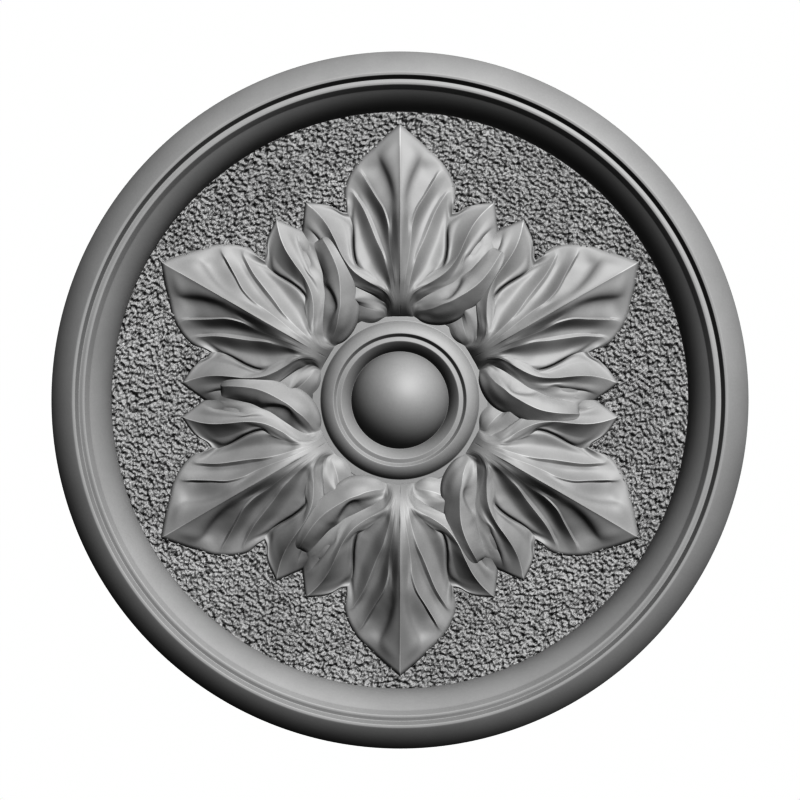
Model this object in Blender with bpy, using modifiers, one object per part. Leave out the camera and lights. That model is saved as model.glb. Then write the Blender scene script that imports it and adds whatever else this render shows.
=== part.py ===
import math

import bmesh
import bpy
from mathutils import Vector

# Sizes in metres. The rosette is modelled lying on its back, heights of the
# carving are above its ground, and an empty turns it upright at the end.
OUTER_RADIUS = 0.120
PLATE_THICKNESS = 0.008
CARVING_ROOT = 0.004
FRAME_SEGMENTS = 84
BOSS_SEGMENTS = 48

# Members of the turned frame, from its outer edge to the ground: widths, then heights
SLOPE_WIDTH = 0.0073
TOP_WIDTH = 0.0010
STEP_WIDTH = 0.0012
QUIRK_WIDTH = 0.0012
FILLET_WIDTH = 0.0008
RISER_WIDTH = 0.0016
OVOLO_WIDTH = 0.0072
EDGE_HEIGHT = 0.0131
TOP_HEIGHT = 0.0200
FILLET_HEIGHT = 0.0173
QUIRK_DEPTH = 0.0004
OVOLO_HEIGHT = 0.0149
FOOT_HEIGHT = 0.0036
SLOPE_SWELL = 0.0006
OVOLO_SWELL = 0.0012
SLOPE_STEPS = 3
OVOLO_STEPS = 4
FRAME_WIDTH = SLOPE_WIDTH + TOP_WIDTH + STEP_WIDTH + QUIRK_WIDTH + FILLET_WIDTH + RISER_WIDTH + OVOLO_WIDTH
GROUND_RADIUS = OUTER_RADIUS - FRAME_WIDTH

# The boss: a dome in a moat, a small bead, a broad torus and a flat collar
DOME_RADIUS = 0.0168
DOME_HEIGHT = 0.0155
MOAT_HEIGHT = 0.0032
BEAD_RADIUS = 0.0203
BEAD_HEIGHT = 0.0082
BEAD_QUIRK_WIDTH = 0.0016
BEAD_QUIRK_DEPTH = 0.0004
TORUS_STEP_WIDTH = 0.0010
TORUS_HEIGHT = 0.0093
TORUS_WIDTH = 0.0045
COLLAR_WIDTH = 0.0029
COLLAR_HEIGHT = 0.0058
COVE_SWELL = 0.0004
TORUS_SWELL = 0.0007
DOME_STEPS = 7
COVE_STEPS = 2
TORUS_STEPS = 3
TORUS_RADIUS = BEAD_RADIUS + BEAD_QUIRK_WIDTH + TORUS_STEP_WIDTH
COLLAR_RADIUS = TORUS_RADIUS + TORUS_WIDTH + COLLAR_WIDTH

# The leaves
LEAF_COUNT = 6
TIP_GAP = 0.0045
ROOT_OVERLAP = 0.0014
LEAF_HEIGHT = 0.0158
LEAF_STATIONS = 7
# How much lower the side lobes are where the next leaf lies over them
LEAF_TUCK = 0.24

# One half of a leaf, drawn on a grid: outward from 84 at its root to 276 at its tip,
# across in the same units, and 46 units high at the crest. Each carving line runs from
# the leaf's root at the boss to its outline, as (across, outward, height). A crisp line
# is an arris or a cut, the others are rounded. The swell rounds the strip after a line,
# which is so many steps wide.
GRID_ROOT = 84
GRID_TIP = 276
GRID_CREST = 46
ROOT_SPACING = 0.7
ROOT_HEIGHT = 15
LEAST_SPAN = 0.01
LEAF_LINES = [
    {
        "name": "midrib",
        "crisp": True,
        "swell": 0.0,
        "steps": 1,
        "points": [(0, 97, 27), (0, 114, 38), (0, 144, 46), (0, 192, 39), (0, 240, 22), (0, 276, 8)],
    },
    {
        "name": "first flute",
        "crisp": False,
        "swell": 0.12,
        "steps": 2,
        "points": [(2, 100, 29), (4, 145, 43), (6, 193, 34), (13, 225, 17), (18, 240, 13), (23, 255, 8)],
    },
    {
        "name": "second flute",
        "crisp": False,
        "swell": 0.0,
        "steps": 1,
        "points": [(4, 102, 31), (6, 150, 40), (12, 190, 30), (23, 208, 19), (36, 228, 10), (42, 239, 7)],
    },
    {
        "name": "second arris",
        "crisp": True,
        "swell": 0.08,
        "steps": 1,
        "points": [(5, 104, 31), (9, 150, 39), (18, 192, 28), (30, 210, 18), (40, 226, 11), (47, 234, 8)],
    },
    {
        "name": "third flute",
        "crisp": False,
        "swell": 0.0,
        "steps": 1,
        "points": [(7, 105, 32), (13, 145, 35), (23, 183, 22), (32, 197, 16), (46, 209, 10), (54, 218, 7)],
    },
    {
        "name": "third arris",
        "crisp": True,
        "swell": 0.06,
        "steps": 1,
        "points": [(8, 106, 32), (17, 143, 37), (27, 165, 28), (35, 183, 21), (47, 205, 12), (56, 210, 8)],
    },
    {
        "name": "middle lobe valley",
        "crisp": False,
        "swell": 0.06,
        "steps": 2,
        "points": [(9, 106, 32), (17, 120, 33), (32, 147, 25), (40, 162, 20), (46, 180, 14), (55, 200, 7)],
    },
    {
        "name": "eye",
        "crisp": True,
        "swell": 0.0,
        "steps": 1,
        "points": [(11, 108, 32), (28, 124, 31), (41, 136, 26), (46, 155, 17), (48, 172, 14), (53, 188, 7)],
    },
    {
        "name": "side lobe lip",
        "crisp": False,
        "swell": 0.06,
        "steps": 1,
        "points": [(13, 107, 32), (31, 121, 33), (45, 135, 30), (50, 155, 22), (55, 176, 15), (68, 195, 8)],
    },
    {
        "name": "side lobe arris",
        "crisp": True,
        "swell": 0.0,
        "steps": 1,
        "points": [(14, 105, 33), (30, 118, 35), (50, 133, 34), (63, 152, 31), (75, 176, 22), (95, 198, 6)],
    },
    {
        "name": "side lobe flute",
        "crisp": False,
        "swell": 0.1,
        "steps": 2,
        "points": [(14, 100, 29), (31, 114, 32), (52, 128, 31), (70, 146, 25), (85, 165, 16), (97, 178, 8)],
    },
    {
        "name": "lobe valley",
        "crisp": False,
        "swell": 0.1,
        "steps": 2,
        "points": [(15, 94, 23), (34, 109, 29), (60, 121, 28), (80, 139, 26), (93, 150, 18), (101, 152, 9)],
    },
    {
        "name": "curled lobe crest",
        "crisp": False,
        "swell": 0.16,
        "steps": 3,
        "points": [(25, 89, 28), (45, 96, 38), (67, 106, 41), (85, 122, 40), (97, 137, 35), (105, 147, 24)],
    },
    {
        "name": "curled lobe edge",
        "crisp": True,
        "swell": 0.0,
        "steps": 0,
        "points": [(25, 77, 16), (45, 75, 18), (74, 86, 26), (94, 113, 34), (102, 132, 30), (105, 143, 20)],
    },
]

STONE_COLOUR = (0.42, 0.42, 0.42, 1.0)
STONE_ROUGHNESS = 0.55
SMOOTH_ANGLE = math.radians(32)
MERGE_DISTANCE = 0.00001


def bowed(start, end, swell, steps):
    # Points after start up to end, on a shallow bow that rises by swell to its left
    start, end = Vector(start), Vector(end)
    chord = end - start
    normal = Vector((-chord.y, chord.x)).normalized()
    points = []
    for step in range(1, steps + 1):
        share = step / steps
        points.append(start + chord * share + normal * (4 * swell * share * (1 - share)))
    return points


def frame_profile():
    # From the middle of the ground out over the frame, and under the plate to its middle
    top_outer = OUTER_RADIUS - SLOPE_WIDTH
    top_inner = top_outer - TOP_WIDTH
    quirk_outer = top_inner - STEP_WIDTH
    fillet_outer = quirk_outer - QUIRK_WIDTH
    fillet_inner = fillet_outer - FILLET_WIDTH
    ovolo_outer = fillet_inner - RISER_WIDTH
    quirk_height = FILLET_HEIGHT - QUIRK_DEPTH
    points = [(0, 0), (GROUND_RADIUS, 0), (GROUND_RADIUS, FOOT_HEIGHT)]
    points += bowed((GROUND_RADIUS, FOOT_HEIGHT), (ovolo_outer, OVOLO_HEIGHT), OVOLO_SWELL, OVOLO_STEPS)
    points += [(fillet_inner, FILLET_HEIGHT), (fillet_outer, FILLET_HEIGHT), (quirk_outer, quirk_height)]
    points += [(top_inner, TOP_HEIGHT), (top_outer, TOP_HEIGHT)]
    points += bowed((top_outer, TOP_HEIGHT), (OUTER_RADIUS, EDGE_HEIGHT), SLOPE_SWELL, SLOPE_STEPS)
    points += [(OUTER_RADIUS, -PLATE_THICKNESS), (0, -PLATE_THICKNESS)]
    return points


def boss_profile():
    # The dome is a cap of the sphere through its top and the bottom of the moat
    dome_rise = DOME_HEIGHT - MOAT_HEIGHT
    sphere = (DOME_RADIUS ** 2 + dome_rise ** 2) / (2 * dome_rise)
    sweep = math.asin(min(1.0, DOME_RADIUS / sphere))
    if dome_rise > sphere:
        sweep = math.pi - sweep
    points = []
    for step in range(DOME_STEPS + 1):
        angle = sweep * step / DOME_STEPS
        points.append((sphere * math.sin(angle), DOME_HEIGHT - sphere * (1 - math.cos(angle))))
    points += bowed(points[-1], (BEAD_RADIUS, BEAD_HEIGHT), COVE_SWELL, COVE_STEPS)
    quirk_radius = BEAD_RADIUS + BEAD_QUIRK_WIDTH
    points += [(quirk_radius, BEAD_HEIGHT - BEAD_QUIRK_DEPTH), (TORUS_RADIUS, TORUS_HEIGHT)]
    torus_edge = TORUS_RADIUS + TORUS_WIDTH
    points += bowed((TORUS_RADIUS, TORUS_HEIGHT), (torus_edge, COLLAR_HEIGHT), TORUS_SWELL, TORUS_STEPS)
    points += [(COLLAR_RADIUS, COLLAR_HEIGHT), (COLLAR_RADIUS, -CARVING_ROOT), (0, -CARVING_ROOT)]
    return points


def turned(name, profile, segments, collection):
    mesh = bpy.data.meshes.new(name)
    vertices = [(point[0], 0, point[1] + PLATE_THICKNESS) for point in profile]
    edges = [(index, index + 1) for index in range(len(vertices) - 1)]
    mesh.from_pydata(vertices, edges, [])
    piece = bpy.data.objects.new(name, mesh)
    collection.objects.link(piece)
    screw = piece.modifiers.new("Turning", "SCREW")
    screw.steps = segments
    screw.render_steps = segments
    screw.use_merge_vertices = True
    screw.merge_threshold = MERGE_DISTANCE
    screw.use_smooth_shade = True
    return piece


def point_on_spline(points, knots, at, crisp):
    # A smooth curve through the points, with a corner at each crisp one
    last = len(points) - 1
    index = 0
    while index < last - 1 and at > knots[index + 1]:
        index += 1
    span = knots[index + 1] - knots[index]
    slope = (points[index + 1] - points[index]) / span
    slopes = []
    for end in (index, index + 1):
        if end in (0, last) or crisp[end]:
            slopes.append(slope)
        else:
            slopes.append((points[end + 1] - points[end - 1]) / (knots[end + 1] - knots[end - 1]))
    share = (at - knots[index]) / span
    rest = 1 - share
    start = points[index] * (rest * rest * (1 + 2 * share))
    end = points[index + 1] * (share * share * (1 + 2 * rest))
    return start + end + (slopes[0] * rest - slopes[1] * share) * (share * rest * span)


def spaced(points):
    # Distances along a row of points, which are the knots of the curve through them
    knots = [0.0]
    for before, after in zip(points, points[1:]):
        knots.append(knots[-1] + max((after - before).length, LEAST_SPAN))
    return knots


def leaf_point(side, strip, share, outward):
    # A point of the leaf, in the strip after a carving line, at a share of its width
    row = []
    for index, line in enumerate(LEAF_LINES):
        turn = index * ROOT_SPACING / GRID_ROOT
        points = [Vector((math.sin(turn) * GRID_ROOT, math.cos(turn) * GRID_ROOT, ROOT_HEIGHT))]
        points += [Vector(point) for point in line["points"]]
        knots = spaced(points)
        row.append(point_on_spline(points, knots, outward * knots[-1], [False] * len(points)))
    knots = spaced(row)
    at = knots[strip] + share * (knots[strip + 1] - knots[strip])
    point = point_on_spline(row, knots, at, [line["crisp"] for line in LEAF_LINES])
    width = knots[strip + 1] - knots[strip]
    point.z += 4 * share * (1 - share) * LEAF_LINES[strip]["swell"] * width
    if side < 0:
        point.x = -point.x
        outer_half = max(0.0, 2 * (strip + share) / (len(row) - 1) - 1)
        point.z *= 1 - LEAF_TUCK * outer_half
    root_radius = COLLAR_RADIUS - ROOT_OVERLAP
    unit = (GROUND_RADIUS - TIP_GAP - root_radius) / (GRID_TIP - GRID_ROOT)
    out = root_radius + (point.y - GRID_ROOT) * unit
    return Vector((point.x * unit, out, point.z * LEAF_HEIGHT / GRID_CREST))


def leaf_mesh():
    # A grid takes the leaf's form, then its edge goes down into the plate and is closed
    columns = []
    for index, line in enumerate(LEAF_LINES):
        columns += [(index, step / line["steps"]) for step in range(line["steps"])]
    columns.append((len(LEAF_LINES) - 2, 1.0))
    half = len(columns) - 1
    bm = bmesh.new()
    bmesh.ops.create_grid(bm, x_segments=2 * half, y_segments=LEAF_STATIONS, size=1)
    for vertex in bm.verts:
        strip, share = columns[round(abs(vertex.co.x) * half)]
        vertex.co = leaf_point(vertex.co.x, strip, share, (vertex.co.y + 1) / 2)
    outline = [edge for edge in bm.edges if edge.is_boundary]
    walls = bmesh.ops.extrude_edge_only(bm, edges=outline)["geom"]
    for vertex in walls:
        if isinstance(vertex, bmesh.types.BMVert):
            vertex.co.z = -CARVING_ROOT
    foot = [edge for edge in bm.edges if edge.is_boundary]
    bmesh.ops.edgeloop_fill(bm, edges=foot)
    bmesh.ops.triangulate(bm, faces=bm.faces)
    bmesh.ops.recalc_face_normals(bm, faces=bm.faces)
    bmesh.ops.translate(bm, verts=bm.verts, vec=(0, 0, PLATE_THICKNESS))
    mesh = bpy.data.meshes.new("leaf")
    bm.to_mesh(mesh)
    bm.free()
    return mesh


def apply_modifiers(piece):
    evaluated = piece.evaluated_get(bpy.context.evaluated_depsgraph_get())
    mesh = bpy.data.meshes.new_from_object(evaluated)
    piece.modifiers.clear()
    piece.data = mesh
    mesh.shade_smooth()
    mesh.set_sharp_from_angle(angle=SMOOTH_ANGLE)


def stone():
    material = bpy.data.materials.new("stone")
    material.use_nodes = True
    shader = material.node_tree.nodes["Principled BSDF"]
    shader.inputs["Base Color"].default_value = STONE_COLOUR
    shader.inputs["Roughness"].default_value = STONE_ROUGHNESS
    shader.inputs["Metallic"].default_value = 0.0
    return material


def build():
    for old in list(bpy.data.objects):
        bpy.data.objects.remove(old, do_unlink=True)
    scene = bpy.context.scene
    part = bpy.data.collections.new("carved rosette")
    carving = bpy.data.collections.new("carving")
    scene.collection.children.link(part)
    scene.collection.children.link(carving)
    carving.hide_render = True

    upright = bpy.data.objects.new("upright", None)
    upright.rotation_euler = (math.pi / 2, 0, 0)
    part.objects.link(upright)

    rosette = turned("rosette", frame_profile(), FRAME_SEGMENTS, part)
    rosette.parent = upright
    rosette.data.materials.append(stone())

    members = [turned("boss", boss_profile(), BOSS_SEGMENTS, carving)]
    leaf = leaf_mesh()
    for index in range(LEAF_COUNT):
        member = bpy.data.objects.new(f"leaf_{index + 1}", leaf)
        member.rotation_euler = (0, 0, -2 * math.pi * index / LEAF_COUNT)
        carving.objects.link(member)
        members.append(member)
    for member in members:
        member.parent = upright
        member.hide_render = True
        member.display_type = "WIRE"
        union = rosette.modifiers.new(f"Join {member.name}", "BOOLEAN")
        union.operation = "UNION"
        union.solver = "MANIFOLD"
        union.object = member
    apply_modifiers(rosette)


build()
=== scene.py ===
import math
import bmesh
import bpy
import numpy as np
from mathutils import Matrix, Vector, noise


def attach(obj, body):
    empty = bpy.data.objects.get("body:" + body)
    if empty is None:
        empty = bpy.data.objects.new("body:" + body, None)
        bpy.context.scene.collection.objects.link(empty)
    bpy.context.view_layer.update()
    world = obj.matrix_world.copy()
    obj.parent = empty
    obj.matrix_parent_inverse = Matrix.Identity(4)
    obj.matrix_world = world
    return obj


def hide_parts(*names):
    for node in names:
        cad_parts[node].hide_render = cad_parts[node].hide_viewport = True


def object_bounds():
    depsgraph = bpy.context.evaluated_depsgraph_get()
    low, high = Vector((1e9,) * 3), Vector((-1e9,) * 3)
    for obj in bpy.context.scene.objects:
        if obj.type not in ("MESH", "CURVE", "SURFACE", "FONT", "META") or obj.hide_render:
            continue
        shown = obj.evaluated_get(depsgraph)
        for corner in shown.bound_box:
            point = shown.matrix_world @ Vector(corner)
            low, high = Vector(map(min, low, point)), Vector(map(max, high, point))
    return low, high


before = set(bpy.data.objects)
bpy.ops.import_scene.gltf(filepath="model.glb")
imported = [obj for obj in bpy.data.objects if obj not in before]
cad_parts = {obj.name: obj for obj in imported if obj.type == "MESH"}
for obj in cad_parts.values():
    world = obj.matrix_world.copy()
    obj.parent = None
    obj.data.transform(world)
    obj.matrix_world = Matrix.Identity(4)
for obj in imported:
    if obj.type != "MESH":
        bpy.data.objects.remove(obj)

cadLow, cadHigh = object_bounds()
scene = bpy.context.scene

# The carving is modelled lying on its back, in metres, with heights above the
# stippled ground. addPiece turns it upright, so that its front faces -Y.

slack = 1e-6  # keeps the meshes inside the solid's box
outerRadius = (cadHigh[0] - cadLow[0]) / 2 - slack
plateThickness = 0.008
topHeight = (cadHigh[1] - cadLow[1]) - plateThickness - slack
upright = Matrix.Rotation(math.pi / 2, 3, "X")
smoothAngle = math.radians(40)


def addPiece(bm, name, material, angle=smoothAngle):
    bmesh.ops.translate(bm, verts=bm.verts, vec=(0, 0, plateThickness))
    bmesh.ops.rotate(bm, verts=bm.verts, cent=(0, 0, 0), matrix=upright)
    mesh = bpy.data.meshes.new(name)
    bm.to_mesh(mesh)
    bm.free()
    mesh.shade_smooth()
    mesh.set_sharp_from_angle(angle=angle)
    mesh.materials.append(material)
    piece = bpy.data.objects.new(name, mesh)
    scene.collection.objects.link(piece)
    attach(piece, "root")
    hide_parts("rosette")


# Shader maths

class Wire:
    def __init__(self, tree, socket):
        self.tree = tree
        self.socket = socket

    def math(self, operation, *values):
        node = self.tree.nodes.new("ShaderNodeMath")
        node.operation = operation
        for index, value in enumerate(values):
            plug(self.tree, node.inputs[index], value)
        return Wire(self.tree, node.outputs[0])

    def __add__(self, other): return self.math("ADD", self, other)
    def __radd__(self, other): return self.math("ADD", other, self)
    def __sub__(self, other): return self.math("SUBTRACT", self, other)
    def __rsub__(self, other): return self.math("SUBTRACT", other, self)
    def __mul__(self, other): return self.math("MULTIPLY", self, other)
    def __rmul__(self, other): return self.math("MULTIPLY", other, self)


def plug(tree, socket, value):
    if isinstance(value, Wire):
        tree.links.new(value.socket, socket)
    else:
        socket.default_value = value


class Shader:
    def __init__(self, name):
        self.material = bpy.data.materials.new(name)
        self.material.use_nodes = True
        self.tree = self.material.node_tree
        self.surface = self.tree.nodes["Principled BSDF"]

    def add(self, kind, settings, output, **sockets):
        node = self.tree.nodes.new("ShaderNode" + kind)
        for setting, value in settings.items():
            if setting == "stops":
                for element, (place, colour) in zip(node.color_ramp.elements, value):
                    element.position = place
                    element.color = (*colour, 1)
            else:
                setattr(node, setting, value)
        for socket, value in sockets.items():
            plug(self.tree, node.inputs[socket.replace("_", " ")], value)
        return Wire(self.tree, node.outputs[output])

    def set(self, socket, value):
        plug(self.tree, self.surface.inputs[socket], value)


# The stone: a fine, even grey, honed on the leaves and mouldings, with a painted highlight that
# makes the arrises paler

stoneLook = {
    "pale": (0.445, 0.445, 0.445),
    "dark": (0.385, 0.385, 0.385),
    "paleAbove": 0.7,  # where the mottling is fully pale, on its scale from 0 to 1
    "darkBelow": 0.3,
    "highlightPaler": 0.45,  # how much paler the painted highlight makes an arris at its full strength
    "roughness": 0.6,
    "specular": 0.8,
    # noises, per metre: broad mottling, fine grain and the marks of the tool
    "cloud": {"Scale": 28.0, "Detail": 6.0, "Roughness": 0.6},
    "grain": {"Scale": 1500.0, "Detail": 3.0, "Roughness": 0.7},
    "tool": {"Scale": 260.0, "Detail": 2.0, "Roughness": 0.5},
    "cloudShade": 0.7,
    "grainShade": 0.3,
    "cloudRoughness": 0.12,
    "grainRoughness": 0.1,
    "grainBump": 0.05,
    "toolBump": 0.03,
    "bumpDistance": 0.0004,
}


def makeStone(name, look):
    shader = Shader(name)
    place = shader.add("TexCoord", {}, "Object")
    cloud = shader.add("TexNoise", {}, "Fac", Vector=place, **look["cloud"])
    grain = shader.add("TexNoise", {}, "Fac", Vector=place, **look["grain"])
    tool = shader.add("TexNoise", {}, "Fac", Vector=place, **look["tool"])
    stops = ((look["darkBelow"], look["dark"]), (look["paleAbove"], look["pale"]))
    shade = cloud * look["cloudShade"] + grain * look["grainShade"]
    colour = shader.add("ValToRGB", {"stops": stops}, "Color", Fac=shade)
    # painted highlight: the base colour is made paler along the arrises, where they would catch
    # the light
    paintedArrisHighlight = shader.add("Attribute", {"attribute_name": "paintedArrisHighlight"}, "Fac")
    shader.set("Base Color", shader.add("VectorMath", {"operation": "SCALE"}, "Vector",
                                        Vector=colour, Scale=1 + paintedArrisHighlight * look["highlightPaler"]))
    uneven = (cloud - 0.5) * look["cloudRoughness"] + (grain - 0.5) * look["grainRoughness"]
    shader.set("Roughness", look["roughness"] + uneven)
    shader.set("Specular IOR Level", look["specular"])
    fine = shader.add("Bump", {}, "Normal", Strength=look["grainBump"],
                      Distance=look["bumpDistance"], Height=grain)
    worked = shader.add("Bump", {}, "Normal", Strength=look["toolBump"],
                        Distance=look["bumpDistance"], Height=tool, Normal=fine)
    shader.set("Normal", worked)
    return shader.material


stone = makeStone("stone", stoneLook)
print("stone made")


# Turned members

cornerAngle = math.radians(14)  # a profile that turns by less has no corner there
cornerShare = 0.45  # the most that a round takes of the lines beside it
cornerStops = (0.0, 0.25, 0.5, 0.75, 1.0)  # the points of a round, along it
mergeDistance = 1e-6


def bowed(start, end, swell, steps):
    # points after start up to end, on a bow that rises by swell to its left
    start, end = Vector(start), Vector(end)
    chord = end - start
    normal = Vector((-chord.y, chord.x)).normalized()
    shares = [step / steps for step in range(1, steps + 1)]
    return [start + chord * share + normal * (4 * swell * share * (1 - share)) for share in shares]


def easedCorners(points, reach):
    # every real corner of a profile becomes a small round
    points = [Vector(point) for point in points]
    eased = [points[0]]
    for before, here, after in zip(points, points[1:], points[2:]):
        back, ahead = before - here, after - here
        short = min(back.length, ahead.length) < mergeDistance
        if short or back.angle(-ahead) < cornerAngle:
            eased.append(here)
            continue
        cut = min(reach, back.length * cornerShare, ahead.length * cornerShare)
        first = here + back.normalized() * cut
        last = here + ahead.normalized() * cut
        for share in cornerStops:
            near = first.lerp(here, share)
            far = here.lerp(last, share)
            eased.append(near.lerp(far, share))
    eased.append(points[-1])
    return eased


def spun(points, segments):
    bm = bmesh.new()
    verts = [bm.verts.new((point[0], 0, point[1])) for point in points]
    edges = [bm.edges.new(pair) for pair in zip(verts, verts[1:])]
    bmesh.ops.spin(bm, geom=verts + edges, cent=(0, 0, 0), axis=(0, 0, 1), angle=2 * math.pi,
                   steps=segments, use_merge=True)
    bmesh.ops.remove_doubles(bm, verts=bm.verts, dist=mergeDistance)
    bmesh.ops.recalc_face_normals(bm, faces=bm.faces)
    return bm


# The frame and the plate behind the ground, widths from the outer edge inwards

frameSizes = {
    "slopeWidth": 0.0073,
    "topWidth": 0.0010,
    "stepWidth": 0.0012,
    "quirkWidth": 0.0012,
    "filletWidth": 0.0008,
    "riserWidth": 0.0016,
    "ovoloWidth": 0.0072,
    "edgeHeight": 0.0131,
    "filletHeight": 0.0173,
    "quirkDepth": 0.0004,
    "ovoloHeight": 0.0149,
    "footHeight": 0.0036,
    "slopeSwell": 0.0006,
    "slopeSteps": 12,
    "ovoloSwell": 0.0012,
    "ovoloSteps": 14,
    "ease": 0.00025,  # the small round on every corner
    "segments": 360,
}
frameWidths = sum(size for name, size in frameSizes.items() if name.endswith("Width"))
groundRadius = outerRadius - frameWidths


def makeFrame(sizes):
    topOuter = outerRadius - sizes["slopeWidth"]
    topInner = topOuter - sizes["topWidth"]
    quirkOuter = topInner - sizes["stepWidth"]
    filletOuter = quirkOuter - sizes["quirkWidth"]
    filletInner = filletOuter - sizes["filletWidth"]
    ovoloTop = (filletInner - sizes["riserWidth"], sizes["ovoloHeight"])
    foot = (groundRadius, sizes["footHeight"])
    bed = -groundSizes["bed"]
    slopeTop = (topOuter, topHeight)
    slopeFoot = (outerRadius, sizes["edgeHeight"])
    points = [(0, bed), (groundRadius, bed), foot]
    points += bowed(foot, ovoloTop, sizes["ovoloSwell"], sizes["ovoloSteps"])
    points += [(filletInner, sizes["filletHeight"]), (filletOuter, sizes["filletHeight"])]
    points += [(quirkOuter, sizes["filletHeight"] - sizes["quirkDepth"])]
    points += [(topInner, topHeight), slopeTop]
    points += bowed(slopeTop, slopeFoot, sizes["slopeSwell"], sizes["slopeSteps"])
    points += [(outerRadius, -plateThickness), (0, -plateThickness)]
    addPiece(spun(easedCorners(points, sizes["ease"]), sizes["segments"]), "frame", stone)


# The boss: a dome in a moat, a small bead, a broad torus and a flat collar

bossSizes = {
    "domeRadius": 0.0168,
    "domeHeight": 0.0155,
    "domeSteps": 32,
    "moatHeight": 0.0032,
    "coveSwell": 0.0004,
    "coveSteps": 8,
    "beadRadius": 0.0203,
    "beadHeight": 0.0082,
    "beadQuirkWidth": 0.0016,
    "beadQuirkDepth": 0.0004,
    "torusStepWidth": 0.0010,
    "torusHeight": 0.0093,
    "torusWidth": 0.0045,
    "torusSwell": 0.0007,
    "torusSteps": 12,
    "collarWidth": 0.0029,
    "collarHeight": 0.0058,
    "root": 0.004,  # how deep the boss is set into the ground
    "ease": 0.00022,  # the small round on every corner
    "segments": 192,
}
torusRadius = sum(bossSizes[part] for part in ("beadRadius", "beadQuirkWidth", "torusStepWidth"))
collarRadius = torusRadius + bossSizes["torusWidth"] + bossSizes["collarWidth"]


def makeBoss(sizes):
    rise = sizes["domeHeight"] - sizes["moatHeight"]
    sphere = (sizes["domeRadius"] ** 2 + rise ** 2) / (2 * rise)
    sweep = math.asin(min(1.0, sizes["domeRadius"] / sphere))
    points = []
    for step in range(sizes["domeSteps"] + 1):
        angle = sweep * step / sizes["domeSteps"]
        fall = sphere * (1 - math.cos(angle))
        points.append((sphere * math.sin(angle), sizes["domeHeight"] - fall))
    bead = (sizes["beadRadius"], sizes["beadHeight"])
    torusTop = (torusRadius, sizes["torusHeight"])
    torusEdge = (torusRadius + sizes["torusWidth"], sizes["collarHeight"])
    points += bowed(points[-1], bead, sizes["coveSwell"], sizes["coveSteps"])
    points.append((bead[0] + sizes["beadQuirkWidth"], bead[1] - sizes["beadQuirkDepth"]))
    points.append(torusTop)
    points += bowed(torusTop, torusEdge, sizes["torusSwell"], sizes["torusSteps"])
    points.append((collarRadius, sizes["collarHeight"]))
    points += [(collarRadius, -sizes["root"]), (0, -sizes["root"])]
    addPiece(spun(easedCorners(points, sizes["ease"]), sizes["segments"]), "boss", stone)


# The leaves. Half a leaf is drawn outward from 84 at the root to 276 at the tip, across
# in the same units, and 46 units high at the crest. The leaf's own sizes that aren't in
# metres are in these units. A carving line runs from the root to the outline through
# points of (across, outward, height), and a smooth skin joins the lines. A crisp line is
# an arris or a cut, and the others are rounded. The left half is the same half mirrored,
# lowered from the line tuckFrom to the line tuckTo, so that it lies under its neighbour.

gridRoot, gridTip, gridCrest = 84, 276, 46
rootSpacing, rootHeight = 0.7, 16.4  # how the lines start, side by side on the collar
leastSpan = 0.01  # keeps two points in one place apart on their curve

leafSizes = {
    "count": 6,
    "tipGap": 0.0045,
    "rootOverlap": 0.0014,
    "height": 0.0158,
    "root": 0.004,  # how deep the leaf is set into the ground
    "wallStep": 0.0012,  # the upper part of the side wall, cut straight down
    "tuck": 0.5,  # how far the left half is lowered, as a share of its height
    "tuckFrom": "sideFlat",
    "tuckTo": "curlFlank",
    "tuckOnset": 2.8,  # how soon after the root it is lowered
    "tuckRelief": 0.5,  # how much of that is given back at the outline
    "crispFrom": 0.06,  # where lines turn crisp, and over how much of their length
    "crispOver": 0.14,
    "fadeOver": 0.12,  # the last share of a fading line, where it softens
    "edgeWidth": 3.2,  # how wide the eased edge is, and how far it falls
    "edgeDrop": 2.2,
    "lineLength": 150,  # about how long the lines are, for that width at the tip
    "lineGap": 5,  # and how far apart, for that width at the side
    "throatWidth": (7, 17),
    "throatLength": (99, 122),
    "throatFoot": 83.7,  # where the throat starts to climb, how high and how fast
    "throatRise": 22.5,
    "throatReach": 13,
    "softWidth": 13,  # the parts that are smoothed: the throat and the left curled lobe
    "softLength": 114,
    "softFrom": "lobeValley",
    "softTo": 0.42,
    "softRounds": 40,
    "softFactor": 0.5,
    "stations": 122,
    "cell": 1.25,  # the grid across, from the strips' widths at these shares of the length
    "measuredAt": (0.4, 0.6, 0.8, 1.0),
    "leastSteps": 2,
}
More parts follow.
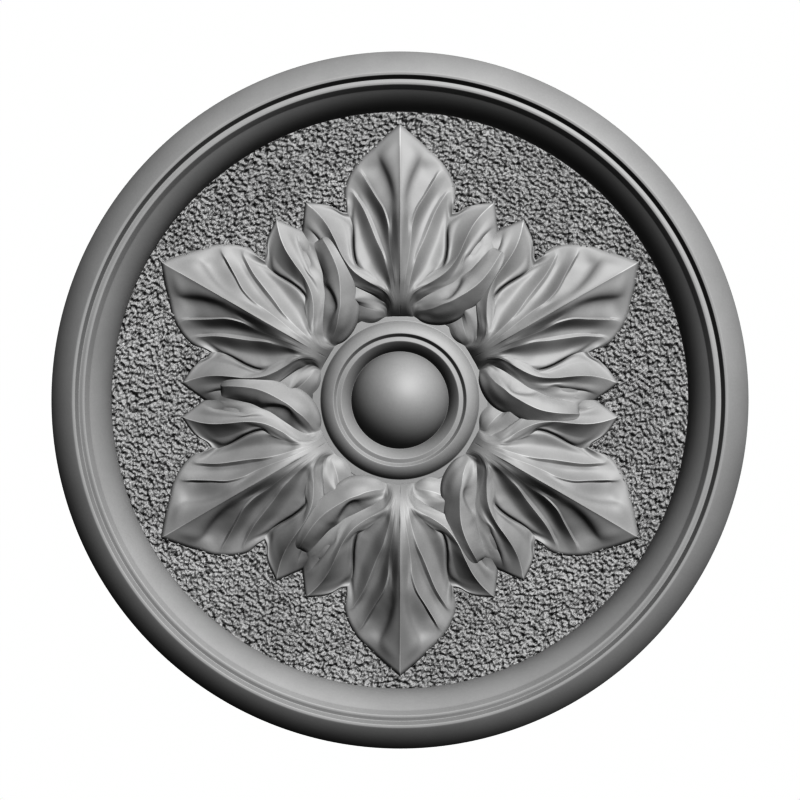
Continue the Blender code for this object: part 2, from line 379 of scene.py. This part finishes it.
# each crisp line may give the strength of the painted highlight along it, with its points
leafLines = [
    {"name": "midrib", "crisp": True, "paintedArrisHighlight": 1.0,
     "points": [(0, 92, 22), (0, 98, 28.5), (0, 108, 36.5), (0, 118, 41), (0, 130, 43.8),
                (0, 145, 45.7), (0, 160, 45), (0, 175, 42.5), (0, 190, 38.5), (0, 205, 32.5),
                (0, 220, 26.5), (0, 235, 20.5), (0, 250, 14.5), (0, 277, 5)]},
    {"name": "firstBrow", "crisp": False,
     "points": [(1, 108, 36.3), (1.6, 130, 42.8), (2, 145, 44.3), (2.6, 160, 42.8),
                (3.2, 175, 39.3), (4, 190, 35.2), (5, 205, 28.8), (8.3, 220, 21.3),
                (14.7, 235, 13), (19.5, 244, 9.2), (23.5, 256.5, 4)]},
    {"name": "firstFoot", "crisp": False,
     "points": [(2, 108, 36.1), (3.4, 130, 42), (4.5, 145, 42.3), (6, 160, 38.5),
                (7.8, 175, 32.9), (7.8, 190, 31), (8.4, 205, 24.2), (12.2, 220, 15.2),
                (18.6, 235, 8.6), (23, 243.5, 7.3), (28, 252, 4)]},
    {"name": "secondValley", "crisp": True, "fades": True,
     "points": [(3, 108, 35.9), (5, 130, 41.5), (6.8, 145, 40.3), (8.6, 160, 35.5),
                (10.2, 175, 31.7), (14.3, 190, 27), (23, 205, 17.7), (31.6, 220, 8.2),
                (36.8, 228, 6.2), (42.5, 238, 3.5)]},
    {"name": "secondArris", "crisp": True, "fades": True, "paintedArrisHighlight": 0.8,
     "points": [(4, 108, 35.7), (6.6, 130, 40.8), (9, 145, 38.2), (10.8, 160, 33.6),
                (12, 175, 31.8), (16.3, 190, 28), (25.2, 205, 19), (34.2, 220, 10.3),
                (39, 228, 6.6), (46.5, 232.5, 3.5)]},
    {"name": "secondHollow", "crisp": False,
     "points": [(5, 108, 35.5), (8.5, 130, 39.4), (12, 145, 35.7), (16, 160, 28.4),
                (21, 175, 21.2), (28, 190, 15.2), (36, 204, 8.9), (42, 214, 6.3),
                (51, 224, 3.8)]},
    {"name": "thirdValley", "crisp": True, "fades": True,
     "points": [(4.0, 97, 26.8), (6.2, 108, 35.3), (10.5, 130, 38), (14.6, 145, 34.4),
                (20, 160, 26.5), (25.8, 175, 19.8), (32.5, 190, 14.2), (42, 205, 7),
                (45.2, 209, 6), (54, 216.5, 4)]},
    {"name": "thirdArris", "crisp": True, "fades": True, "paintedArrisHighlight": 0.8,
     "points": [(4.6, 97, 26.7), (7.5, 108, 35.1), (12.3, 130, 37), (16.8, 145, 34.8),
                (23.6, 160, 27.3), (29.6, 175, 21.5), (36, 190, 15.6), (44.6, 204, 8.2),
                (47.7, 208.3, 6.3), (55.8, 209, 4.5)]},
    {"name": "thirdHollow", "crisp": False,
     "points": [(5.2, 97, 26.6), (10, 108, 34.9), (15.5, 118, 32.2), (24.5, 130, 28.4),
                (30.5, 145, 23.4), (36.5, 160, 17.8), (40.5, 175, 12.2), (44.8, 190, 8.3),
                (48.5, 200, 6.3), (55.3, 203, 6)]},
    {"name": "eyeBrow", "crisp": False,
     "points": [(5.8, 97, 26.5), (11, 108.5, 34.7), (20, 119, 31.6), (33, 130, 28.3),
                (39.2, 135.5, 27), (43, 141, 25), (45, 150, 21.3), (45.4, 160, 16.8),
                (45.8, 168, 13.3), (46.8, 177, 9.8), (49, 188, 6.3), (53.7, 196, 8.3)]},
    {"name": "eye", "crisp": True,
     "points": [(6.3, 97, 26.4), (12, 108.8, 34.5), (22, 119.7, 31.3), (36, 130.5, 28.3),
                (41.5, 133.5, 26), (44.7, 140, 21), (46.5, 150, 16.5), (46.9, 160, 12),
                (46.9, 167.5, 11), (47.8, 176, 9), (50, 183.5, 6.3), (53.6, 188, 8.6)]},
    {"name": "eyeLip", "crisp": False,
     "points": [(6.8, 97, 26.3), (13, 109, 34.5), (24, 119.9, 31.5), (38, 130, 29.2),
                (43, 132.5, 28.6), (46.4, 139.5, 26.7), (48.4, 150, 23.8), (48.6, 160, 18.3),
                (48.3, 168, 14), (49.5, 175.5, 10.5), (54.5, 184, 6.8), (58.5, 188.7, 8.3)]},
    {"name": "sideLip", "crisp": False,
     "points": [(7.3, 97, 26.2), (14, 109, 34.5), (26, 119.5, 32), (42, 130, 30.4),
                (50, 140, 27.5), (52, 150, 24.3), (53.5, 160, 19.8), (57, 172, 14.5),
                (62, 182, 9.8), (66.5, 190, 6.3), (70.5, 194.8, 6.5)]},
    {"name": "sideArris", "crisp": True, "paintedArrisHighlight": 1.0,
     "points": [(7.9, 97, 26), (15, 108.3, 34.3), (21, 112.6, 33.6), (31, 118, 32.8),
                (47.6, 130, 32), (58.3, 145, 30.7), (65.2, 160, 28), (73, 175, 20),
                (80.5, 185, 12.5), (87.5, 192, 8), (95, 198.3, 4.5)]},
    {"name": "sideHollow", "crisp": False,
     "points": [(8.6, 96.8, 25.4), (16.2, 107.2, 32.3), (27, 112.5, 30.3), (38, 117, 29),
                (49, 124, 28.2), (56.5, 132.5, 27), (63.3, 145, 26), (71.3, 160, 21.8),
                (79, 170.5, 16), (87, 181, 10), (96, 190, 4.5)]},
    {"name": "cutBrow", "crisp": False,
     "points": [(9.2, 96.5, 24), (17.5, 106, 30.8), (30, 111.3, 28.5), (42, 116, 27.3),
                (53, 123.5, 26.6), (61, 134, 26.8), (64.5, 142.8, 26.4), (69.5, 148, 24),
                (77.3, 158, 19.3), (83, 165.5, 15.5), (88.5, 170.5, 12), (97, 179.5, 5)]},
    {"name": "cutFoot", "crisp": True,
     "points": [(10.1, 96, 23.6), (18.7, 104.8, 29.3), (31.5, 110.4, 27.3),
                (43.5, 115.5, 26.8), (55, 123, 26), (62.5, 132.5, 26.3), (66, 141.5, 25),
                (71, 146.7, 21.8), (78.8, 156.7, 16.8), (84.3, 164.4, 13.5), (89.5, 169.5, 11),
                (97.8, 173, 5)]},
    {"name": "sideFlat", "crisp": False,
     "points": [(11.1, 95.3, 23), (19.8, 103.5, 27.6), (32.8, 109.4, 26.3), (45, 114.7, 26.2),
                (57, 122.3, 25.4), (65.5, 131.5, 25), (73, 141.5, 23.3), (80, 151, 19.8),
                (87, 159, 15), (93, 164, 10.5), (98.4, 165, 5.5)]},
    {"name": "lobeValley", "crisp": True,
     "points": [(12.3, 94.2, 22.4), (20, 100.3, 24.6), (26.5, 104.6, 25.3), (34, 108.4, 25.6),
                (43.5, 113, 26), (54.5, 118.5, 25.2), (62.5, 124.5, 24.8), (71, 130.5, 24.2),
                (78.5, 138.5, 22.8), (85, 145.5, 20.8), (92.5, 152.3, 17), (99.2, 151.5, 12)]},
    {"name": "curlFoot", "crisp": False,
     "points": [(13.5, 92.6, 21.8), (21.5, 97.2, 24.73), (30, 100, 28.1), (40, 101.5, 32),
                (46, 101.5, 33.2), (50.5, 103.8, 32), (55, 109, 30.2), (59.5, 116.5, 27.4),
                (63, 122, 27.6), (69, 126.5, 27.2), (76, 133, 26.5), (83, 140, 24.53),
                (90, 147.5, 21.05), (95, 151, 17.77), (99.7, 150.5, 13.52)]},
    {"name": "curlBrow", "crisp": False,
     "points": [(14.8, 90.5, 21.4), (23.5, 94, 26.67), (34, 97, 32.96), (43, 99, 36.5),
                (49.5, 101, 37.6), (54, 104, 37.4), (58.5, 109, 36.2), (63.2, 116.8, 33),
                (66.8, 121.5, 31.4), (72.5, 125, 31), (79, 131, 30.1), (86, 138.5, 27.4),
                (92.5, 145.5, 23.25), (97, 149.5, 19.3), (100.7, 149.9, 16)]},
    {"name": "curlCrest", "crisp": True, "paintedArrisHighlight": 0.7,
     "points": [(16, 88, 21.2), (25, 90.3, 28.01), (34, 92.5, 33.81), (42, 95.8, 37.4),
                (50, 98.5, 38.8), (59, 103.3, 38.4), (68, 108.7, 37.6), (75.5, 114, 37.1),
                (81, 119, 36.25), (87, 126, 34.84), (92, 133, 32.45), (97, 141, 27.85),
                (100.5, 147, 22), (102.5, 149.6, 18)]},
    {"name": "curlFlank", "crisp": False,
     "points": [(18.5, 84.2, 20.2), (27, 85, 25.6), (36, 86.5, 30.8), (46, 88, 32.5),
                (56, 92.5, 33.1), (65, 98.3, 32.8), (74, 104.3, 32.6), (81.5, 111, 32.47),
                (88, 119, 31.94), (94, 127.5, 30.72), (98.5, 135.5, 27.55), (102, 142, 23.5),
                (104.6, 148.3, 18)]},
    {"name": "curlTurn", "crisp": False,
     "points": [(19.5, 81.6, 19.4), (26, 80, 22), (34, 80, 24.2), (46, 80.5, 24.8),
                (58, 85, 26), (69, 93, 27.4), (78, 101, 28.9), (86, 110, 29.75),
                (92.5, 119, 29.86), (98, 128, 28.66), (101.5, 136, 26), (104, 143, 22),
                (105.7, 147.5, 18)]},
    {"name": "curlEdge", "crisp": True,
     "points": [(20, 79.3, 17.8), (26, 76.8, 19.2), (35, 75.2, 19.6), (46, 75.8, 20),
                (57, 79.5, 22.2), (67, 85.6, 22), (76, 93, 24), (85, 101.5, 26.66),
                (92, 110.5, 27.82), (98, 120.5, 27.95), (102, 130, 26.5), (105, 140, 22.5),
                (106.2, 146.5, 18)]},
]


def splinePoint(points, knots, at, crisp):
    # a smooth curve through the points, with a corner at each crisp one
    last = len(points) - 1
    index = 0
    while index < last - 1 and at > knots[index + 1]:
        index += 1
    span = knots[index + 1] - knots[index]
    slope = (points[index + 1] - points[index]) / span
    slopes = []
    for end in (index, index + 1):
        if end in (0, last):
            slopes.append(slope)
        else:
            before = (points[end] - points[end - 1]) / (knots[end] - knots[end - 1])
            after = (points[end + 1] - points[end]) / (knots[end + 1] - knots[end])
            near = (knots[end + 1] - knots[end]) / (knots[end + 1] - knots[end - 1])
            slopes.append((before * near + after * (1 - near)).lerp(slope, crisp[end]))
    share = (at - knots[index]) / span
    rest = 1 - share
    start = points[index] * (rest * rest * (1 + 2 * share))
    end = points[index + 1] * (share * share * (1 + 2 * rest))
    return start + end + (slopes[0] * rest - slopes[1] * share) * (share * rest * span)


def spacedKnots(points):
    knots = [0.0]
    for before, after in zip(points, points[1:]):
        knots.append(knots[-1] + max((after - before).length, leastSpan))
    return knots


def smoothStep(value):
    value = min(1.0, max(0.0, value))
    return value * value * (3 - 2 * value)


def lineIndex(name):
    return [line["name"] for line in leafLines].index(name)


def leafRow(outward):
    # where each carving line is at a share of its length from the root
    row = []
    for index, line in enumerate(leafLines):
        turn = index * rootSpacing / gridRoot
        points = [Vector((math.sin(turn) * gridRoot, math.cos(turn) * gridRoot, rootHeight))]
        points += [Vector(point) for point in line["points"]]
        knots = spacedKnots(points)
        row.append(splinePoint(points, knots, outward * knots[-1], [0.0] * len(points)))
    return row


def leafColumns(sizes):
    # how finely each strip between two carving lines is divided, from its greatest width
    columns = []
    rows = [leafRow(outward) for outward in sizes["measuredAt"]]
    for index in range(len(leafLines) - 1):
        width = max((row[index + 1] - row[index]).length for row in rows)
        steps = max(sizes["leastSteps"], round(width / sizes["cell"]))
        columns += [(index, step / steps) for step in range(steps)]
    return columns + [(len(leafLines) - 2, 1.0)]


def lineCrispness(line, outward, sizes):
    # no arris or cut is sharp in the throat, and a fading one softens towards the outline
    if not line["crisp"]:
        return 0.0
    head = smoothStep((1 - outward) / sizes["fadeOver"]) if line.get("fades") else 1.0
    return smoothStep((outward - sizes["crispFrom"]) / sizes["crispOver"]) * head


def throatHeight(point, sizes):
    # the lines run together in the throat, which is one even slope
    throatIn, throatOut = sizes["throatWidth"]
    throatStart, throatEnd = sizes["throatLength"]
    near = smoothStep((point.x - throatOut) / (throatIn - throatOut))
    near *= smoothStep((point.y - throatEnd) / (throatStart - throatEnd))
    climb = max(0.0, point.y - sizes["throatFoot"]) / sizes["throatReach"]
    rise = sizes["throatRise"] * (1 - math.exp(-climb))
    return point.z + (rootHeight + rise - point.z) * near


def edgeFall(outward, strip, share, sizes):
    # the leaf's edge is eased all along its outline
    toTip = (1 - outward) * sizes["lineLength"]
    toSide = (len(leafLines) - 1 - strip - share) * sizes["lineGap"]
    return sizes["edgeDrop"] * max(0.0, 1 - min(toTip, toSide) / sizes["edgeWidth"]) ** 2


def tuckShare(outward, strip, share, sizes):
    # how much of the tuck the left half has at this place
    first, last = lineIndex(sizes["tuckFrom"]), lineIndex(sizes["tuckTo"])
    under = smoothStep((strip + share - first) / (last - first))
    fade = smoothStep(sizes["tuckOnset"] * outward) * (1 - sizes["tuckRelief"] * outward ** 2)
    return under * fade


def makeLeafForm(sizes):
    # both halves' points, the painted highlight on their arrises, and whether they are in the
    # throat or the curled lobe
    columns = leafColumns(sizes)
    stations = sizes["stations"]
    rootRadius = collarRadius - sizes["rootOverlap"]
    unit = (groundRadius - sizes["tipGap"] - rootRadius) / (gridTip - gridRoot)
    scale = sizes["height"] / gridCrest
    lobeStart = lineIndex(sizes["softFrom"])
    form = {}
    for station in range(stations + 1):
        outward = station / stations
        row = leafRow(outward)
        knots = spacedKnots(row)
        crisp = [lineCrispness(line, outward, sizes) for line in leafLines]
        for column, (strip, share) in enumerate(columns):
            width = knots[strip + 1] - knots[strip]
            point = splinePoint(row, knots, knots[strip] + share * width, crisp)
            point.z = throatHeight(point, sizes) - edgeFall(outward, strip, share, sizes)
            lowered = point.z * (1 - sizes["tuck"] * tuckShare(outward, strip, share, sizes))
            across, out = point.x * unit, rootRadius + (point.y - gridRoot) * unit
            right = Vector((across, out, point.z * scale))
            left = Vector((-across, out, lowered * scale))
            # the painted highlight sits only on the crisp lines themselves
            arrisHighlight = leafLines[strip].get("paintedArrisHighlight", 0.0) * crisp[strip] if share == 0 else 0.0
            inThroat = point.x < sizes["softWidth"] and point.y < sizes["softLength"]
            inLobe = strip >= lobeStart and station < stations * sizes["softTo"]
            form[column, station] = (right, left, arrisHighlight, inThroat, inLobe)
    return form, len(columns) - 1


def openEdges(bm):
    return [edge for edge in bm.edges if edge.is_boundary]


def extrudedVerts(bm):
    walls = bmesh.ops.extrude_edge_only(bm, edges=openEdges(bm))["geom"]
    return [part for part in walls if isinstance(part, bmesh.types.BMVert)]


def closeBottom(bm):
    bmesh.ops.triangle_fill(bm, use_beauty=True, edges=openEdges(bm))
    bmesh.ops.recalc_face_normals(bm, faces=bm.faces)


def makeLeaf(form, half, sizes, turn, name):
    bm = bmesh.new()
    stations = sizes["stations"]
    bmesh.ops.create_grid(bm, x_segments=2 * half, y_segments=stations, size=1)
    # the painted highlight along the arrises, kept per point for the stone's colour
    paintedArrisHighlight = bm.verts.layers.float.new("paintedArrisHighlight")
    soft = []
    for vert in bm.verts:
        column = round(abs(vert.co.x) * half)
        station = round((vert.co.y + 1) / 2 * stations)
        right, left, arrisHighlight, inThroat, inLobe = form[column, station]
        if not vert.is_boundary and (inThroat or inLobe and vert.co.x < 0):
            soft.append(vert)
        vert.co = left if vert.co.x < 0 else right
        vert[paintedArrisHighlight] = arrisHighlight
    for _ in range(sizes["softRounds"]):
        bmesh.ops.smooth_vert(bm, verts=soft, factor=sizes["softFactor"], use_axis_z=True)
    for vert in extrudedVerts(bm):
        vert.co.z -= sizes["wallStep"]
    for vert in extrudedVerts(bm):
        vert.co.z = -sizes["root"]
    closeBottom(bm)
    bmesh.ops.rotate(bm, verts=bm.verts, cent=(0, 0, 0), matrix=Matrix.Rotation(turn, 3, "Z"))
    addPiece(bm, name, stone)


def makeLeaves(sizes):
    # the six leaves, clockwise from the top one, whose outline the ground is cut to
    form, half = makeLeafForm(sizes)
    for index in range(sizes["count"]):
        turn = -2 * math.pi * index / sizes["count"]
        makeLeaf(form, half, sizes, turn, f"leaf{index + 1}")
    stations = sizes["stations"]
    tip = [form[column, stations][1] for column in range(half, 0, -1)]
    tip += [form[column, stations][0] for column in range(half + 1)]
    rightSide = [form[half, station][0] for station in range(stations - 1, -1, -1)]
    leftSide = [form[half, station][1] for station in range(1, stations)]
    return np.array([point.to_2d()[:] for point in tip + rightSide + leftSide])


# The stippled ground, open where the leaves and the boss stand on it

groundLook = {
    **stoneLook,
    # painted light: the ground's stone is paler than the leaves' stone, to offset the shade in its
    # deep stipple marks
    "pale": (0.55, 0.55, 0.55),
    "dark": (0.43, 0.43, 0.43),
    "tool": {"Scale": 1100.0, "Detail": 2.0, "Roughness": 0.5},
    "toolBump": 1.0,
    "bumpDistance": 0.0008,
}
groundSizes = {
    "cell": 0.00042,
    "bed": 0.0028,  # the plate behind the ground lies this far below it
    "thickness": 0.0034,
    "overlap": 0.0012,  # how far the ground runs in under the carving
    "frameOverlap": 0.001,
    "pitchOutward": 0.00070,  # the size of the marks, which pitchAround has at pitchRadius
    "pitchAround": 0.00094,
    "pitchRadius": 0.085,
    "depth": 0.00330,
    "fineShare": 0.4,  # smaller marks among them
    "fineScale": 2.1,
    "fineOffset": (7, 3, 5),
    "lowest": -0.0024,  # no mark goes through to the bed
}
leastLength = 1e-6


def insideOutline(points, outline):
    # crossing test for all points at once
    inside = np.zeros(len(points), bool)
    x, y = points[:, 0], points[:, 1]
    for (ax, ay), (bx, by) in zip(outline, np.roll(outline, -1, axis=0)):
        if ay == by:
            continue
        crosses = (ay > y) != (by > y)
        inside ^= crosses & (x < ax + (y - ay) * (bx - ax) / (by - ay))
    return inside


def hiddenByCarving(points, outline, margin):
    hidden = np.hypot(points[:, 0], points[:, 1]) < collarRadius - margin
    inward = outline.mean(axis=0) - outline
    lengths = np.maximum(np.hypot(inward[:, 0], inward[:, 1]), leastLength)
    shrunk = outline + inward / lengths[:, None] * margin
    for index in range(leafSizes["count"]):
        turn = 2 * math.pi * index / leafSizes["count"]
        cosine, sine = math.cos(turn), math.sin(turn)
        turned = points @ np.array([[cosine, sine], [-sine, cosine]])
        hidden |= insideOutline(turned, shrunk)
    return hidden


def stipple(x, y, sizes):
    # the marks are a little longer around the centre than outwards
    radius = max(math.hypot(x, y), sizes["cell"])
    around = sizes["pitchRadius"] / sizes["pitchAround"] / radius
    place = Vector((x * around, y * around, radius / sizes["pitchOutward"]))
    finer = place * sizes["fineScale"] + Vector(sizes["fineOffset"])
    broad = noise.noise(place, noise_basis="PERLIN_ORIGINAL")
    fine = noise.noise(finer, noise_basis="PERLIN_ORIGINAL")
    return max(sizes["lowest"], sizes["depth"] * (broad + sizes["fineShare"] * fine))


def makeGround(outline, sizes):
    bm = bmesh.new()
    radius = groundRadius + sizes["frameOverlap"]
    cells = round(2 * radius / sizes["cell"])
    bmesh.ops.create_grid(bm, x_segments=cells, y_segments=cells, size=radius)
    points = np.array([vert.co.to_2d()[:] for vert in bm.verts])
    outside = np.hypot(points[:, 0], points[:, 1]) > radius
    gone = outside | hiddenByCarving(points, outline, sizes["overlap"])
    dropped = [vert for vert, drop in zip(bm.verts, gone) if drop]
    bmesh.ops.delete(bm, geom=dropped, context="VERTS")
    loose = [vert for vert in bm.verts if not vert.link_faces]
    bmesh.ops.delete(bm, geom=loose, context="VERTS")
    for vert in bm.verts:
        vert.co.z = stipple(vert.co.x, vert.co.y, sizes)
    for vert in extrudedVerts(bm):
        vert.co.z = -sizes["thickness"]
    closeBottom(bm)
    addPiece(bm, "ground", makeStone("stippledStone", groundLook), math.pi)


makeFrame(frameSizes)
print("frame made")
makeBoss(bossSizes)
print("boss made")
leafOutline = makeLeaves(leafSizes)
print("leaves made")
makeGround(leafOutline, groundSizes)
print("ground made")


# The camera, far off with a long lens, straight in front

# plane is how far in front of the back the view is width across
viewSizes = {"distance": 3.0, "width": 0.27547, "plane": 0.021, "sensor": 36, "far": 20}


def makeCamera(sizes):
    camera = bpy.data.cameras.new("camera")
    camera.sensor_width = sizes["sensor"]
    camera.lens = sizes["sensor"] * (sizes["distance"] - sizes["plane"]) / sizes["width"]
    camera.clip_end = sizes["far"]
    holder = bpy.data.objects.new("camera", camera)
    holder.location = (0, -sizes["distance"], 0)
    holder.rotation_euler = (math.pi / 2, 0, 0)
    scene.collection.objects.link(holder)
    scene.camera = holder


# The light: a key from the upper right in front, which casts no shadows, as in the
# photo, and one from behind, which reaches only the back

lights = {
    "key": {"direction": (0.287, -0.82, 0.497), "strength": 4.95, "angle": 30, "shadow": False},
    "back": {"direction": (0, 1, 0), "strength": 3.5, "angle": 5, "shadow": True},
}


def makeLights():
    for name, settings in lights.items():
        light = bpy.data.lights.new(name, "SUN")
        light.energy = settings["strength"]
        light.angle = math.radians(settings["angle"])
        light.use_shadow = settings["shadow"]
        holder = bpy.data.objects.new(name, light)
        holder.rotation_euler = Vector(settings["direction"]).to_track_quat("Z", "Y").to_euler()
        scene.collection.objects.link(holder)


# The studio: white behind the rosette, but dim as a light, and a pale floor

studioSizes = {
    "backdrop": 1.0,
    "fill": 0.015,
    "floorReach": 0.3,
    "floorHeight": -0.165,
    "floorColour": (0.8, 0.8, 0.8, 1),
    "floorRoughness": 0.9,
}


def makeWorld(sizes):
    world = bpy.data.worlds.new("studio")
    scene.world = world
    world.use_nodes = True
    tree = world.node_tree
    tree.nodes.clear()
    path = tree.nodes.new("ShaderNodeLightPath")
    mix = tree.nodes.new("ShaderNodeMixShader")
    out = tree.nodes.new("ShaderNodeOutputWorld")
    tree.links.new(path.outputs["Is Camera Ray"], mix.inputs[0])
    tree.links.new(mix.outputs[0], out.inputs["Surface"])
    for place, part in ((1, "fill"), (2, "backdrop")):
        background = tree.nodes.new("ShaderNodeBackground")
        background.inputs["Color"].default_value = (1, 1, 1, 1)
        background.inputs["Strength"].default_value = sizes[part]
        tree.links.new(background.outputs[0], mix.inputs[place])


def makeFloor(sizes):
    bm = bmesh.new()
    bmesh.ops.create_grid(bm, x_segments=1, y_segments=1, size=sizes["floorReach"])
    bmesh.ops.translate(bm, verts=bm.verts, vec=(0, 0, sizes["floorHeight"]))
    mesh = bpy.data.meshes.new("floor")
    bm.to_mesh(mesh)
    bm.free()
    floor = bpy.data.objects.new("floor", mesh)
    pale = Shader("paleFloor")
    pale.set("Base Color", sizes["floorColour"])
    pale.set("Roughness", sizes["floorRoughness"])
    mesh.materials.append(pale.material)
    scene.collection.objects.link(floor)
    floor.visible_diffuse = False
    floor.visible_glossy = False


makeCamera(viewSizes)
makeLights()
makeWorld(studioSizes)
makeFloor(studioSizes)
# the photo's deep shading: no light bounces into the hollows, and dark tones go darker
scene.cycles.diffuse_bounces = 0
scene.view_settings.view_transform = "Standard"
scene.view_settings.gamma = 0.5
print("camera, light and floor made")
